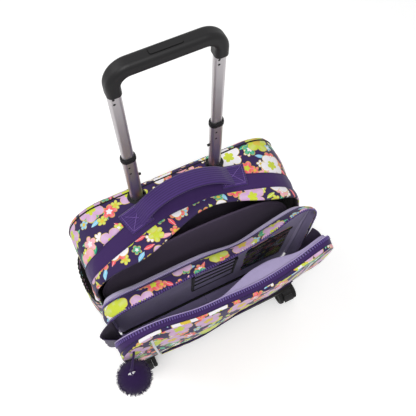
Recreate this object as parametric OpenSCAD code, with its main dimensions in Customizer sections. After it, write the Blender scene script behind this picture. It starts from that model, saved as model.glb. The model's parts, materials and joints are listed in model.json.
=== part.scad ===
// Soft-sided wheeled bag with a two-stage trolley handle, sewn from separate panels on a moulded base.
// Frame: +Z up, the front of the bag faces -Y, +X is to the right as seen from the front.

/* [Bag] */
// Width of the main shell
bag_w = 400; // [340:1:440]
// Height of the shell's top above the floor
bag_top = 400; // [360:1:440]
// Height of the front sections' top above the floor
front_top = 376; // [340:1:390]
// Depth of the main compartment, front to back
main_d = 130; // [110:1:160]
// Depth of the organiser section
organiser_d = 35; // [28:1:50]
// Depth of the front pocket's gusset
pocket_d = 20; // [15:1:30]
// Radius of the shell's top corners
corner_r = 64; // [50:1:80]
// Radius of the shell's bottom corners
foot_r = 16; // [10:1:24]
// Thickness of the padded shell cloth
cloth_t = 3; // [2:0.5:4]
// How far the front pocket's face bulges
pocket_bulge = 22; // [10:1:28]
// How far the main section leans open at rest, degrees
wall_lean = 3.5; // [1:0.5:6]
// How far the front pocket leans open at rest, degrees
pocket_lean = 10; // [7:0.5:12]
// Depth of the rear print strip on the shell's top
rear_strip_d = 40; // [30:1:50]
// Depth of the plain band on the shell's top
band_d = 38; // [30:1:50]
// How far the front strip's edge is cut back at its middle
mouth_dip = 25; // [10:1:35]

/* [Trolley handle] */
// Distance between the two tube columns
tube_gap = 146; // [120:1:170]
// Width of the upper tube's oval section
tube_w = 18.6; // [16:0.2:22]
// Depth of the upper tube's oval section
tube_d = 11.6; // [10:0.2:14]
// Wall of each tube
tube_t = 1.2; // [0.8:0.1:1.5]
// Sliding clearance between stages, each side
stage_gap = 0.4; // [0.3:0.05:0.6]
// Distance from the bag's back face to the tube columns
tube_inset = 21.5; // [20:0.5:30]
// Length of the upper stage that shows
upper_out = 150; // [100:1:180]
// Length of the middle stage that shows below its collar
middle_out = 120; // [90:1:160]
// Height of a collar
collar_h = 8; // [7:1:14]
// Thickness of the grip bar
grip_h = 20; // [16:1:21]
// Depth of the grip bar
grip_d = 22; // [22:1:28]
// Radius of the grip's corner curve
grip_corner_r = 24; // [18:1:32]
// Radius of the grip's long edges
grip_edge_r = 7; // [3:0.5:8]
// Length of the grip's legs below its corners
cuff_h = 12; // [8:1:30]
// Length of the push button
button_w = 44; // [30:1:56]
// Travel of the push button
button_travel = 3; // [2:0.5:4]

/* [Casters] */
// Distance from the shell's side to a swivel axis
caster_inset = 28; // [26:1:50]
// Diameter of a wheel
wheel_dia = 40; // [36:1:44]
// Width of a wheel
wheel_w = 9; // [7:0.5:11]
// Distance between the two wheels of a caster, centre to centre
wheel_pair = 32; // [28:0.5:36]
// Distance from the swivel axis to the axle
caster_trail = 15; // [10:1:18]
// Radius of an axle
axle_r = 2.5; // [2:0.1:3]
// Radius of a swivel stem
stem_r = 4; // [3:0.1:5]
// Radial running clearance of stems and axles
running = 0.08; // [0.04:0.01:0.1]

/* [Grab handle] */
// Distance between the handle's ends
handle_w = 184; // [150:1:200]
// Rise of the handle above the shell
handle_rise = 40; // [30:1:55]
// Width of the handle's webbing
handle_d = 40; // [30:1:45]
// Thickness of the handle's padding
handle_t = 7; // [5:0.5:9]
// Distance from the bag's back face to the handle's middle
handle_inset = 56; // [54:1:70]

/* [Pockets] */
// Height of a bottle pocket's top edge above the floor
bottle_top = 232; // [200:1:260]
// Depth of a bottle pocket, front to back
bottle_d = 104; // [80:1:110]
// How far a bottle pocket stands out from the side
bottle_out = 22; // [16:1:28]
// Half the distance between the front accent strips
strip_x = 144; // [120:1:150]
// Height of the lower front pocket
lower_h = 166; // [120:1:190]
// Width of a zip's tape
zip_w = 12; // [8:1:16]
// Height of the padded divider
divider_h = 276; // [220:1:300]
// Width of the card panel
card_w = 88; // [70:1:100]
// Height of the card panel's rear layer
card_h = 118; // [100:1:130]
// Drop from one card slot to the next
card_step = 26; // [18:1:30]
// Width of the mesh pocket
mesh_w = 92; // [70:1:100]
// Height of the mesh pocket
mesh_h = 150; // [110:1:170]

/* [Charm] */
// Diameter of the charm's dense core
pom_dia = 52; // [40:1:56]
// Distance from the closed bag's front to the back of the charm's ball
charm_standoff = 61; // [60:1:76]

/* [Hidden] */
$fn = 48;
seat = 0.3;
half_w = bag_w / 2;
back_y = (main_d + organiser_d + pocket_d + charm_standoff + pom_dia) / 2;
wall_y = back_y - main_d;
split_y = wall_y - organiser_d;
front_y = split_y - pocket_d;
tube_y = back_y - tube_inset;
tray_h = 12;
tray_z = wheel_dia + 4;
base_z = tray_z + tray_h;
hinge_z = base_z + 4;
bottom_w = bag_w - 2 * foot_r;
// Trolley sections, from the upper tube outwards
step = 2 * (tube_t + stage_gap);
mid_w = tube_w + step;
mid_d = tube_d + step;
out_w = mid_w + step;
out_d = mid_d + step;
bezel_top = bag_top - cloth_t - seat;
rim_w = 4;
rim_h = 2.4;
bezel_h = 10;
bezel_w = tube_gap + out_w + 14;
bezel_d = out_d + 8;
foot_d = out_d + 6;
foot_h = 22;
pin_r = 2.2;
pin_below = 54;
mid_inside = 104;
upper_inside = 70;
lip_h = 3;
collar_z = bag_top + rim_h + middle_out;
pin_z = collar_z - pin_below;
grip_z = collar_z + collar_h + upper_out;
corner_z = grip_z + cuff_h;
bar_z = corner_z + grip_corner_r;
button_d = 10;
button_floor = bar_z - 1;
cover_w = 72;
cover_d = 8;
// Base and casters
tray_front = front_y - 20;
wheel_z = wheel_dia / 2;
caster_x = half_w - caster_inset;
front_caster_y = tray_front + 19;
rear_caster_y = back_y - 30;
// Front sections, measured from the hinge line
wall_h = front_top - hinge_z;
wall_rear = organiser_d + pocket_d;
drop = hinge_z - base_z - seat;
// Room for the pocket's lower rear edge, which swings rearwards as it leans
turn_gap = norm([pocket_d, drop]) - pocket_d + seat;
tape_t = 1.2;
nest = cloth_t + tape_t + 0.5;
pocket_w = bag_w - 2 * nest;
pocket_h = wall_h - nest;
bulge_r = (pow(pocket_h / 2, 2) + pow(pocket_bulge, 2)) / (2 * pocket_bulge);
bulge_y = bulge_r - pocket_bulge;
fan_h = wall_h - corner_r;
card_t = 1.2;
card_z = 96;
mesh_z = 70;
handle_r = (pow(handle_w / 2, 2) + pow(handle_rise, 2)) / (2 * handle_rise);
handle_y = back_y - handle_inset;
handle_z = bag_top + handle_rise - handle_r;
patch_t = 1.5;
divider_t = 5;
sleeve_d = 21;

// ---------- shared shapes ----------

// Flat oval: a slot outline w wide and d deep
module oval(w, d) {
  square([w - d, d], center = true);
  for (side = [-1, 1])
    translate([side * (w - d) / 2, 0]) circle(d = d);
}

// Rectangle w by h with round corners, standing on its bottom edge
module round_rect(w, h, top_r, bottom_r) {
  translate([-w / 2, bottom_r]) square([w, h - top_r - bottom_r]);
  translate([-w / 2 + top_r, h - top_r - 1]) square([w - 2 * top_r, top_r + 1]);
  translate([-w / 2 + bottom_r, 0]) square([w - 2 * bottom_r, bottom_r + 1]);
  for (side = [-1, 1]) {
    translate([side * (w / 2 - top_r), h - top_r]) circle(r = top_r, $fn = 96);
    translate([side * (w / 2 - bottom_r), bottom_r]) circle(r = bottom_r);
  }
}

// Outline extruded towards -Y from y = 0
module along_y(depth) {
  rotate([90, 0, 0]) linear_extrude(depth) children();
}

// Rounded ring of cloth that runs round a section of the bag
module cloth_ring(w, h, depth, t) {
  along_y(depth)
    difference() {
      round_rect(w, h, corner_r, foot_r);
      translate([0, t]) round_rect(w - 2 * t, h - 2 * t, corner_r - t, foot_r - t);
    }
}

// Ring of the main shell between two distances from the back face
// It is open below, where the bottom panel lies
module shell_strip(from_back, depth) {
  difference() {
    translate([0, back_y - from_back, base_z]) cloth_ring(bag_w, bag_top - base_z, depth, cloth_t);
    translate([-bottom_w / 2, wall_y - 1, base_z - 1]) cube([bottom_w, main_d + 2, cloth_t + 1]);
  }
}

module oval_tube(w, d, t, z0, z1) {
  translate([0, 0, z0])
    linear_extrude(z1 - z0)
      difference() {
        oval(w, d);
        oval(w - 2 * t, d - 2 * t);
      }
}

// Puts a piece on the left (-1) or right (1) tube column
module at_column(side) {
  translate([side * tube_gap / 2, tube_y, 0]) children();
}

// Carries a piece drawn from the hinge line to its leaning place at rest
module leaning(angle) {
  translate([0, front_y, hinge_z]) rotate([angle, 0, 0]) children();
}

// ---------- base ----------

module base_tray() {
  tray_w = bag_w - 12;
  tray_d = back_y - tray_front - 4;
  color("#1b1a1d")
    difference() {
      translate([0, tray_front + tray_d / 2, tray_z])
        linear_extrude(tray_h) round_rect_centred(tray_w, tray_d, 26);
      // Hollow underside, left open between the ribs
      for (i = [-2 : 2])
        translate([i * 46 - 20, tray_front + 8, tray_z - 1]) cube([40, tray_d - 16, tray_h - 2]);
      caster_places() translate([0, 0, tray_z - 1]) cylinder(r = stem_r + running, h = tray_h + 2);
      base_screw_places() translate([0, 0, base_z - 5]) cylinder(r = 1.6, h = 6);
    }
}

module round_rect_centred(w, d, r) {
  square([w - 2 * r, d], center = true);
  square([w, d - 2 * r], center = true);
  for (x = [-1, 1])
    for (y = [-1, 1])
      translate([x * (w / 2 - r), y * (d / 2 - r)]) circle(r = r);
}

module caster_places() {
  for (x = [-caster_x, caster_x])
    for (y = [front_caster_y, rear_caster_y])
      translate([x, y, 0]) children();
}

module base_screw_places() {
  for (x = [-caster_x + 22, -caster_x * 0.4, caster_x * 0.4, caster_x - 22])
    for (y = [wall_y + sleeve_d / 2, rear_caster_y - 34])
      translate([x, y, 0]) children();
}

// Screws that hold the cloth bottom to the tray
module base_screws() {
  color("#3a3a3e")
    base_screw_places() {
      translate([0, 0, base_z - 4.6]) cylinder(r = 1.5, h = 4.6 + cloth_t);
      translate([0, 0, base_z + cloth_t]) cylinder(r = 4, h = 1.6);
    }
}

// Swivelling fork: a plate with its stem, a web and a hood between the wheels
module caster_fork(x, y) {
  web_w = wheel_pair - wheel_w - 3;
  plate_z = wheel_dia + 2 * seat;
  color("#151517")
    translate([x, y, 0])
      difference() {
        union() {
          translate([0, 0, plate_z]) cylinder(r = 17, h = tray_z - seat - plate_z);
          translate([0, 0, tray_z - seat - 0.1]) cylinder(r = stem_r, h = tray_h);
          // Web between the wheels, round about the axle and square up to the plate
          translate([-web_w / 2, -caster_trail, wheel_z])
            rotate([0, 90, 0]) cylinder(r = 13, h = web_w);
          translate([-web_w / 2, -caster_trail - 13, wheel_z])
            cube([web_w, caster_trail + 24, plate_z + 1 - wheel_z]);
          // Hood that covers the tops of both wheels
          translate([0, -caster_trail, wheel_z])
            rotate([0, 90, 0])
              difference() {
                cylinder(r = wheel_z + 2.6, h = web_w + 2, center = true);
                translate([-4, -40, -40]) cube([80, 80, 80]);
              }
        }
        translate([-wheel_pair, -caster_trail, wheel_z])
          rotate([0, 90, 0]) cylinder(r = axle_r + running, h = 2 * wheel_pair);
      }
}

// Axle with a wheel on each end
module caster_wheels(x, y) {
  color("#0f0f11")
    translate([x, y - caster_trail, wheel_z])
      rotate([0, 90, 0]) {
        cylinder(r = axle_r, h = wheel_pair + wheel_w - 4, center = true);
        for (side = [-1, 1])
          translate([0, 0, side * wheel_pair / 2]) wheel();
      }
}

// Wheel with a rounded tread, two grooves and a dished hub
module wheel() {
  r = wheel_z;
  w = wheel_w / 2;
  rotate_extrude($fn = 72)
    polygon([
      [axle_r + seat, -w + 2], [r * 0.5, -w + 2], [r * 0.62, -w], [r - 1.6, -w], [r, -w + 1.6],
      [r, -1.8], [r - 0.7, -1.5], [r - 0.7, -1.1], [r, -0.8],
      [r, 0.8], [r - 0.7, 1.1], [r - 0.7, 1.5], [r, 1.8],
      [r, w - 1.6], [r - 1.6, w], [r * 0.62, w], [r * 0.5, w - 2], [axle_r + seat, w - 2]
    ]);
}

// ---------- trolley ----------

module outer_tube(side) {
  color("#b9b9bd")
    at_column(side)
      difference() {
        oval_tube(out_w, out_d, tube_t, base_z + cloth_t + 6, bezel_top - bezel_h);
        pin_slot(side);
      }
}

// Slot on the inner side that the guide pin runs in
module pin_slot(side) {
  slot_z = pin_z - middle_out - 4;
  translate([-side * (out_w / 2 - 2) - 4, -pin_r - 0.8, slot_z])
    cube([8, 2 * pin_r + 1.6, bag_top + 10 - slot_z]);
}

module middle_tube(side) {
  color("#c4c4c8")
    at_column(side)
      difference() {
        oval_tube(mid_w, mid_d, tube_t, bag_top - mid_inside, collar_z + collar_h - lip_h);
        translate([-side * mid_w / 2, 0, pin_z]) rotate([0, 90, 0]) cylinder(r = pin_r, h = 6, center = true);
      }
}

module upper_tube(side) {
  color("#d0d0d4")
    at_column(side) oval_tube(tube_w, tube_d, tube_t, collar_z - upper_inside, grip_z + cuff_h);
}

module guide_pins() {
  color("#202022")
    for (side = [-1, 1])
      at_column(side)
        translate([-side * (mid_w / 2 - tube_t), 0, pin_z])
          rotate([0, -side * 90, 0]) cylinder(r = pin_r, h = tube_t + 3.4);
}

module collar(side) {
  color("#1a1a1c")
    at_column(side)
      translate([0, 0, collar_z])
        difference() {
          union() {
            linear_extrude(collar_h - lip_h) oval(mid_w + 2.8, mid_d + 2.8);
            translate([0, 0, collar_h - lip_h]) linear_extrude(lip_h) oval(mid_w + 1.8, mid_d + 1.8);
          }
          translate([0, 0, -1]) linear_extrude(collar_h - lip_h + 1) oval(mid_w, mid_d);
          linear_extrude(collar_h + 1) oval(tube_w + 2 * stage_gap, tube_d + 2 * stage_gap);
        }
}

// Plate under the cloth that the stages slide through
module top_bezel() {
  color("#202023")
    difference() {
      translate([0, tube_y, bezel_top - bezel_h])
        linear_extrude(bezel_h) round_rect_centred(bezel_w, bezel_d, 8);
      for (side = [-1, 1])
        at_column(side) {
          translate([0, 0, bezel_top - bezel_h - 1]) tube_way(bezel_h + 2);
          pin_slot(side);
        }
    }
}

// Way through for a middle tube
module tube_way(h) {
  linear_extrude(h) oval(mid_w + 2 * stage_gap, mid_d + 2 * stage_gap);
}

// Rim round a tube, on top of the cloth
module tube_rim(side) {
  color("#202023")
    at_column(side)
      difference() {
        translate([0, 0, bag_top]) linear_extrude(rim_h) oval(out_w + 2 * rim_w, out_d + 2 * rim_w);
        translate([0, 0, bag_top - 1]) tube_way(rim_h + 2);
        pin_slot(side);
      }
}

module tube_foot() {
  foot_z = base_z + cloth_t;
  color("#202023")
    difference() {
      translate([0, tube_y, foot_z])
        linear_extrude(foot_h) round_rect_centred(bezel_w, foot_d, 8);
      for (side = [-1, 1])
        at_column(side) translate([0, 0, foot_z + 6]) linear_extrude(20) oval(out_w, out_d);
      translate([-tube_gap / 2 + out_w, tube_y - out_d, foot_z + 6])
        cube([tube_gap - 2 * out_w, 2 * out_d, 20]);
    }
}

// Section of the grip: a rounded rectangle, deeper than it is thick
module grip_section() {
  round_rect_centred(grip_h, grip_d, grip_edge_r);
}

// Grip: a straight bar, two corner curves and two legs over the tubes
module grip_form() {
  corner_x = tube_gap / 2 - grip_corner_r;
  translate([-corner_x, tube_y, bar_z])
    rotate([0, 90, 0]) linear_extrude(2 * corner_x) grip_section();
  for (side = [0, 1])
    mirror([side, 0, 0]) {
      translate([corner_x, tube_y, corner_z])
        rotate([90, 0, 0]) rotate_extrude(angle = 90, $fn = 96) translate([grip_corner_r, 0]) grip_section();
      translate([tube_gap / 2, tube_y, grip_z]) linear_extrude(cuff_h) grip_section();
    }
}

module button_cavity(grow) {
  translate([0, tube_y, button_floor])
    linear_extrude(grip_h) round_rect_centred(button_w + 2 * grow, button_d + 2 * grow, 2.5 + grow);
}

module grip_body() {
  color("#1c1c1f")
    difference() {
      grip_form();
      button_cavity(seat);
      // Sockets for the upper tubes
      for (side = [-1, 1])
        at_column(side) translate([0, 0, grip_z - 1]) linear_extrude(cuff_h + 1) oval(tube_w, tube_d);
      cover_cut();
    }
}

// Flat zone on the underside of the bar for the cover
module cover_cut() {
  translate([-cover_w / 2, tube_y - cover_d / 2, bar_z - grip_h / 2 - 1]) cube([cover_w, cover_d, 4]);
}

module grip_cover() {
  color("#26262a")
    intersection() {
      grip_form();
      cover_cut();
    }
}

module grip_button() {
  color("#2a2a2e")
    translate([0, tube_y, button_floor + button_travel + seat])
      linear_extrude(bar_z + grip_h / 2 + 1.2 - button_floor - button_travel - seat)
        round_rect_centred(button_w, button_d, 2.5);
}

// ---------- main shell ----------

module bottom_panel() {
  color("#3a235c")
    difference() {
      translate([-bottom_w / 2, wall_y + seat, base_z]) cube([bottom_w, main_d - cloth_t - seat, cloth_t]);
      base_screw_places() translate([0, 0, base_z - 1]) cylinder(r = 1.5, h = cloth_t + 2);
    }
}

module back_panel() {
  color("#3a235c")
    translate([0, back_y, base_z]) along_y(cloth_t) round_rect(bag_w, bag_top - base_z, corner_r, foot_r);
}

// Board inside the lining that closes the trolley's channel off from the compartment
module frame_sheet() {
  sheet_h = bezel_top - bezel_h - base_z - cloth_t - 2;
  color("#2b2a30")
    translate([0, tube_y - foot_d / 2 - seat, base_z + cloth_t + seat])
      along_y(2)
        round_rect(bag_w - 2 * cloth_t - 2 * seat, sheet_h, corner_r, foot_r);
}

module gusset_rear() {
  color("#3b2a66")
    difference() {
      shell_strip(cloth_t, rear_strip_d - cloth_t);
      for (side = [-1, 1])
        at_column(side) {
          translate([0, 0, bezel_top]) linear_extrude(bezel_h) oval(out_w, out_d);
          pin_slot(side);
        }
    }
}

module gusset_band() {
  color("#3a235c") shell_strip(rear_strip_d, band_d);
}

// Front strip of the shell: its top edge is cut back in a shallow arc at the mouth
module gusset_front() {
  strip_d = main_d - rear_strip_d - band_d - seat;
  arc_r = (pow(half_w * 0.62, 2) + pow(mouth_dip, 2)) / (2 * mouth_dip);
  color("#3b2a66")
    difference() {
      shell_strip(rear_strip_d + band_d, strip_d);
      translate([0, wall_y + mouth_dip - arc_r, bag_top - corner_r])
        cylinder(r = arc_r, h = corner_r + 1, $fn = 180);
    }
}

module grab_handle() {
  color("#3a235c")
    intersection() {
      translate([0, handle_y + handle_d / 2, handle_z])
        rotate([90, 0, 0])
          difference() {
            cylinder(r = handle_r, h = handle_d, $fn = 180);
            translate([0, 0, -1]) cylinder(r = handle_r - handle_t, h = handle_d + 2, $fn = 180);
          }
      translate([-half_w, handle_y - handle_d, bag_top + patch_t])
        cube([bag_w, 2 * handle_d, 2 * handle_rise]);
    }
}

// Square patches that the handle's ends are sewn to
module handle_anchors() {
  color("#402868")
    for (side = [-1, 1])
      translate([side * (handle_w / 2 - 6), handle_y, bag_top])
        linear_extrude(patch_t) round_rect_centred(52, handle_d, 4);
}

// Padded sleeve wall that stands inside the main compartment
module laptop_divider() {
  color("#4a4458")
    translate([0, wall_y + sleeve_d + divider_t, base_z + cloth_t])
      along_y(divider_t) round_rect(bag_w - 2 * cloth_t - 14, divider_h, corner_r + foot_r, foot_r / 2);
}

// Outline of a bottle pocket seen from above, open towards the shell
module bottle_outline(inset, grow) {
  translate([half_w - 20, -bottle_d / 2 + inset])
    round_rect_corner(20 + bottle_out + grow - inset, bottle_d - 2 * inset, 14 - inset);
}

// Rectangle from the origin with its two far corners rounded
module round_rect_corner(w, d, r) {
  square([w - r, d]);
  translate([0, r]) square([w, d - 2 * r]);
  for (y = [r, d - r])
    translate([w - r, y]) circle(r = r);
}

module beside_shell(side) {
  translate([0, back_y - 6 - bottle_d / 2, 0]) mirror([side < 0 ? 1 : 0, 0, 0]) children();
}

module bottle_pocket(side) {
  floor_z = base_z + foot_r + 4;
  color("#3b2a66")
    beside_shell(side)
      difference() {
        translate([0, 0, floor_z]) linear_extrude(bottle_top - floor_z) bottle_outline(0, 0);
        translate([0, 0, floor_z + 2]) linear_extrude(bottle_top) bottle_outline(2, 0);
        translate([0, -bottle_d, 0]) cube([half_w, 2 * bottle_d, bag_top]);
      }
}

// Gathered elastic edge round the pocket's mouth
module bottle_elastic(side) {
  color("#141416")
    beside_shell(side)
      difference() {
        translate([0, 0, bottle_top]) linear_extrude(9) bottle_outline(-0.6, -0.6);
        translate([0, 0, bottle_top - 1]) linear_extrude(11) bottle_outline(2, 0);
        translate([0, -bottle_d, 0]) cube([half_w, 2 * bottle_d, bag_top + 1]);
      }
}

// ---------- organiser section, drawn from the hinge line ----------

module wall_panel() {
  color("#554b6e")
    leaning(wall_lean)
      translate([0, wall_rear, -drop]) along_y(cloth_t) round_rect(bag_w, wall_h + drop, corner_r, foot_r);
}

module wall_gusset() {
  color("#3b2a66")
    leaning(wall_lean)
      translate([0, wall_rear - cloth_t, -drop])
        cloth_ring(bag_w, wall_h + drop, organiser_d - cloth_t - turn_gap, cloth_t);
}

// Strip of a ring above a height, for tapes that stop part of the way down the sides
module tape_ring(w, h, y, depth, from_z) {
  intersection() {
    translate([0, y, -drop])
      along_y(depth)
        difference() {
          round_rect(w, h + drop, corner_r, foot_r);
          translate([0, tape_t])
            round_rect(w - 2 * tape_t, h + drop - 2 * tape_t, corner_r - tape_t, foot_r - tape_t);
        }
    translate([-bag_w, -bag_w / 2, from_z]) cube([2 * bag_w, bag_w, 2 * bag_top]);
  }
}

// Zip half along the section's rear edge, which closes the main compartment
module main_zip() {
  color("#b7aecb")
    leaning(wall_lean)
      difference() {
        tape_ring(bag_w + 2 * tape_t, wall_h + tape_t, wall_rear, zip_w * 0.75, 90);
        translate([0, wall_rear + 1, -drop]) along_y(12) round_rect(bag_w, wall_h + drop, corner_r, foot_r);
      }
}

module organiser_zip() {
  color("#3d2566")
    leaning(wall_lean)
      tape_ring(bag_w - 2 * cloth_t, wall_h - cloth_t, pocket_d + seat + zip_w / 2, zip_w, 110);
}

// Four stepped card slots
module card_panel() {
  color("#433a58")
    leaning(wall_lean)
      for (i = [0 : 3])
        translate([-card_w / 3, wall_rear - cloth_t - card_t - i * 0.9, card_z])
          cube([card_w, card_t, card_h - i * card_step]);
}

module mesh_pocket() {
  color("#17161a")
    leaning(wall_lean)
      translate([half_w - 26 - mesh_w, wall_rear - cloth_t - card_t, mesh_z]) cube([mesh_w, card_t, mesh_h]);
}

// ---------- front pocket, drawn from the hinge line ----------

// Drum whose front forms the pocket's bulging face
module bulge_drum(grow) {
  translate([0, bulge_y, pocket_h / 2])
    rotate([0, 90, 0]) cylinder(r = bulge_r + grow, h = 2 * bag_w, center = true, $fn = 360);
}

module pocket_block(rear) {
  translate([0, rear, -drop])
    along_y(rear + pocket_bulge + 10) round_rect(pocket_w, pocket_h + drop, corner_r, foot_r);
}

module pocket_panel() {
  color("#3b2a66")
    leaning(pocket_lean)
      difference() {
        intersection() {
          pocket_block(pocket_d);
          bulge_drum(0);
        }
        bulge_drum(-cloth_t);
      }
}

module pocket_gusset() {
  color("#3d2566")
    leaning(pocket_lean)
      intersection() {
        translate([0, pocket_d, -drop])
          cloth_ring(pocket_w, pocket_h + drop, pocket_d + pocket_bulge, cloth_t);
        bulge_drum(-cloth_t);
      }
}

module pocket_zip() {
  color("#3d2566")
    leaning(pocket_lean)
      tape_ring(pocket_w - 2 * cloth_t, pocket_h - cloth_t, pocket_d + zip_w / 2, zip_w, 70);
}

// Zipped flat pocket sewn low on the face
module lower_pocket() {
  edge = strip_x - 5;
  color("#3b2a66")
    leaning(pocket_lean)
      difference() {
        intersection() {
          translate([0, 0, 12]) along_y(60) round_rect(2 * edge, lower_h, 10, 14);
          bulge_drum(2.4);
        }
        bulge_drum(0);
      }
}

module accent_strips() {
  color("#c9c8cf")
    leaning(pocket_lean)
      difference() {
        intersection() {
          for (side = [-1, 1])
            translate([side * strip_x - 3, -60, 10]) cube([6, 60, pocket_h - 36]);
          bulge_drum(1.3);
        }
        bulge_drum(0.05);
      }
}

function face_a(z) = asin((z - pocket_h / 2) / bulge_r);

module eyelet() {
  color("#d5d5d9")
    leaning(pocket_lean)
      translate([-half_w + 26, bulge_y, pocket_h / 2])
        rotate([-face_a(pocket_h - 52), 0, 0])
          translate([0, -bulge_r - 1.2, 0])
            rotate([90, 0, 0]) rotate_extrude() translate([4.4, 0]) circle(r = 1.2);
}

// Pleated side cloth between the organiser and the front pocket
module fan_gusset(side) {
  x0 = pocket_w / 2 - 1.4;
  color("#16131f")
    translate([side > 0 ? x0 : -x0 - tape_t, 0, 0])
      rotate([90, 0, 90])
        linear_extrude(tape_t)
          polygon([for (p = [[14, wall_lean], [fan_h, wall_lean], [fan_h, pocket_lean], [14, pocket_lean]])
            lean_point(pocket_d, p[0], p[1])]);
}

// Place in the side view of a point y, z from the hinge line after leaning
function lean_point(y, z, a) = [front_y + y * cos(a) - z * sin(a), hinge_z + y * sin(a) + z * cos(a)];

// ---------- charm ----------

// Centre of the fixed ring that the charm swings in
charm_x = -half_w - bottle_out + pom_dia / 2;
charm_y = -back_y + pom_dia / 2;
ring_wire = 1.2;
loop_ring_r = 4;
clasp_ring_r = 5;
loop_z = hinge_z + wall_h - 30;
clasp_z = loop_z - loop_ring_r + 2 * ring_wire + seat - clasp_ring_r;

module ring(r) {
  rotate_extrude() translate([r, 0]) circle(r = ring_wire, $fn = 24);
}

module rod(a, b, r) {
  v = b - a;
  length = norm(v);
  translate(a) rotate([0, acos(v[2] / length), atan2(v[1], v[0])]) cylinder(r = r, h = length, $fn = 24);
}

// Webbing loop at the pocket's corner, ending in the ring
module charm_loop() {
  z0 = pocket_h - 26;
  root = lean_point(bulge_y - bulge_r * cos(face_a(z0)) - 1.5, z0, pocket_lean);
  from = [-half_w + 20, root[0], root[1]];
  to = [charm_x, charm_y, loop_z];
  dir = (to - from) / norm(to - from);
  color("#3a235c") {
    rod(from, to - dir * loop_ring_r, 2);
    translate(to) rotate([0, 90, 0]) ring(loop_ring_r);
  }
}

module charm_clasp() {
  color("#d5d5d9")
    translate([charm_x, charm_y, clasp_z]) {
      rotate([90, 0, 0]) ring(clasp_ring_r);
      translate([0, 0, -clasp_ring_r - 5]) cylinder(r = 1.4, h = 5);
    }
}

module charm_pompom() {
  color("#2b1745")
    translate([charm_x, charm_y, clasp_z - clasp_ring_r - 5 - pom_dia / 2]) sphere(d = pom_dia, $fn = 64);
}

base_tray();
base_screws();
bottom_panel();
back_panel();
frame_sheet();
gusset_rear();
gusset_band();
gusset_front();
grab_handle();
handle_anchors();
laptop_divider();
bottle_pocket(-1);  // bottle_pocket_left
bottle_pocket(1);  // bottle_pocket_right
bottle_elastic(-1);  // bottle_elastic_left
bottle_elastic(1);  // bottle_elastic_right
outer_tube(-1);  // outer_tube_left
outer_tube(1);  // outer_tube_right
tube_foot();
top_bezel();
tube_rim(-1);  // tube_rim_left
tube_rim(1);  // tube_rim_right
middle_tube(-1);  // middle_tube_left
middle_tube(1);  // middle_tube_right
collar(-1);  // collar_left
collar(1);  // collar_right
guide_pins();
upper_tube(-1);  // upper_tube_left
upper_tube(1);  // upper_tube_right
grip_body();
grip_cover();
grip_button();
wall_panel();
wall_gusset();
main_zip();
organiser_zip();
card_panel();
mesh_pocket();
pocket_panel();
pocket_gusset();
pocket_zip();
lower_pocket();
accent_strips();
eyelet();
fan_gusset(-1);  // fan_gusset_left
fan_gusset(1);  // fan_gusset_right
charm_loop();
charm_clasp();
charm_pompom();
caster_fork(-caster_x, front_caster_y);  // caster_fork_front_left
caster_fork(caster_x, front_caster_y);  // caster_fork_front_right
caster_fork(-caster_x, rear_caster_y);  // caster_fork_rear_left
caster_fork(caster_x, rear_caster_y);  // caster_fork_rear_right
caster_wheels(-caster_x, front_caster_y);  // caster_wheels_front_left
caster_wheels(caster_x, front_caster_y);  // caster_wheels_front_right
caster_wheels(-caster_x, rear_caster_y);  // caster_wheels_rear_left
caster_wheels(caster_x, rear_caster_y);  // caster_wheels_rear_right
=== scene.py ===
"""Looks of a rolling soft bag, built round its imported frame.

Metres, +Z up, the bag's front faces -Y. Places come from the frame's boxes and joints where they can.
"""
import json
import math
import random

import bpy
import numpy as np
from mathutils import Matrix, Vector, noise


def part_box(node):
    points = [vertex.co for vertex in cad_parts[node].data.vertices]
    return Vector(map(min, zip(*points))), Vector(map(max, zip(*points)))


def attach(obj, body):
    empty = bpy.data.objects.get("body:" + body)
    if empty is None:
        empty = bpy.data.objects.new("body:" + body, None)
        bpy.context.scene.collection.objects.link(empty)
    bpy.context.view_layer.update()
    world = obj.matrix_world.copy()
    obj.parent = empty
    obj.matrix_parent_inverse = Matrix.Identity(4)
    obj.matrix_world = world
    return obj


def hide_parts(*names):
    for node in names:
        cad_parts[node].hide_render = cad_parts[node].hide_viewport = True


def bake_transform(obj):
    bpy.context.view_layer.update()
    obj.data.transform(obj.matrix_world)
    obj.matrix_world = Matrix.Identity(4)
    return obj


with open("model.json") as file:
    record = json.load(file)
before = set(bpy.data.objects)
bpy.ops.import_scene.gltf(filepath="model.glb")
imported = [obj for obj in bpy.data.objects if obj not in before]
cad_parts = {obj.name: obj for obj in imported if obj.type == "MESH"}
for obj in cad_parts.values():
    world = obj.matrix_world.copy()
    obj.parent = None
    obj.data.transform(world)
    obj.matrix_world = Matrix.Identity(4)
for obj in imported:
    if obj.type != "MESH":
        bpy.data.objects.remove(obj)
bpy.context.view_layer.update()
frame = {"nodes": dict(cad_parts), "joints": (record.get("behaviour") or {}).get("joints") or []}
NODE = frame["nodes"]
JOINT = {j["name"]: j for j in frame["joints"]}
MM = 0.001

# ---------- sizes taken from the frame ----------

back_lo, back_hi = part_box("back_panel")
HALF_W = back_hi.x
SHELL_TOP = back_hi.z
SHELL_BASE = back_lo.z
BACK_Y = back_hi.y
MAIN_D = BACK_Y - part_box("gusset_front")[0].y
tube_lo, tube_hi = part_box("upper_tube_right")
TUBE_X, TUBE_Y = (tube_lo.x + tube_hi.x) / 2, (tube_lo.y + tube_hi.y) / 2
# Lengths of the part that no box gives
CORNER_R = 64 * MM
FOOT_R = 16 * MM
CLOTH = 2.6 * MM

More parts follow.
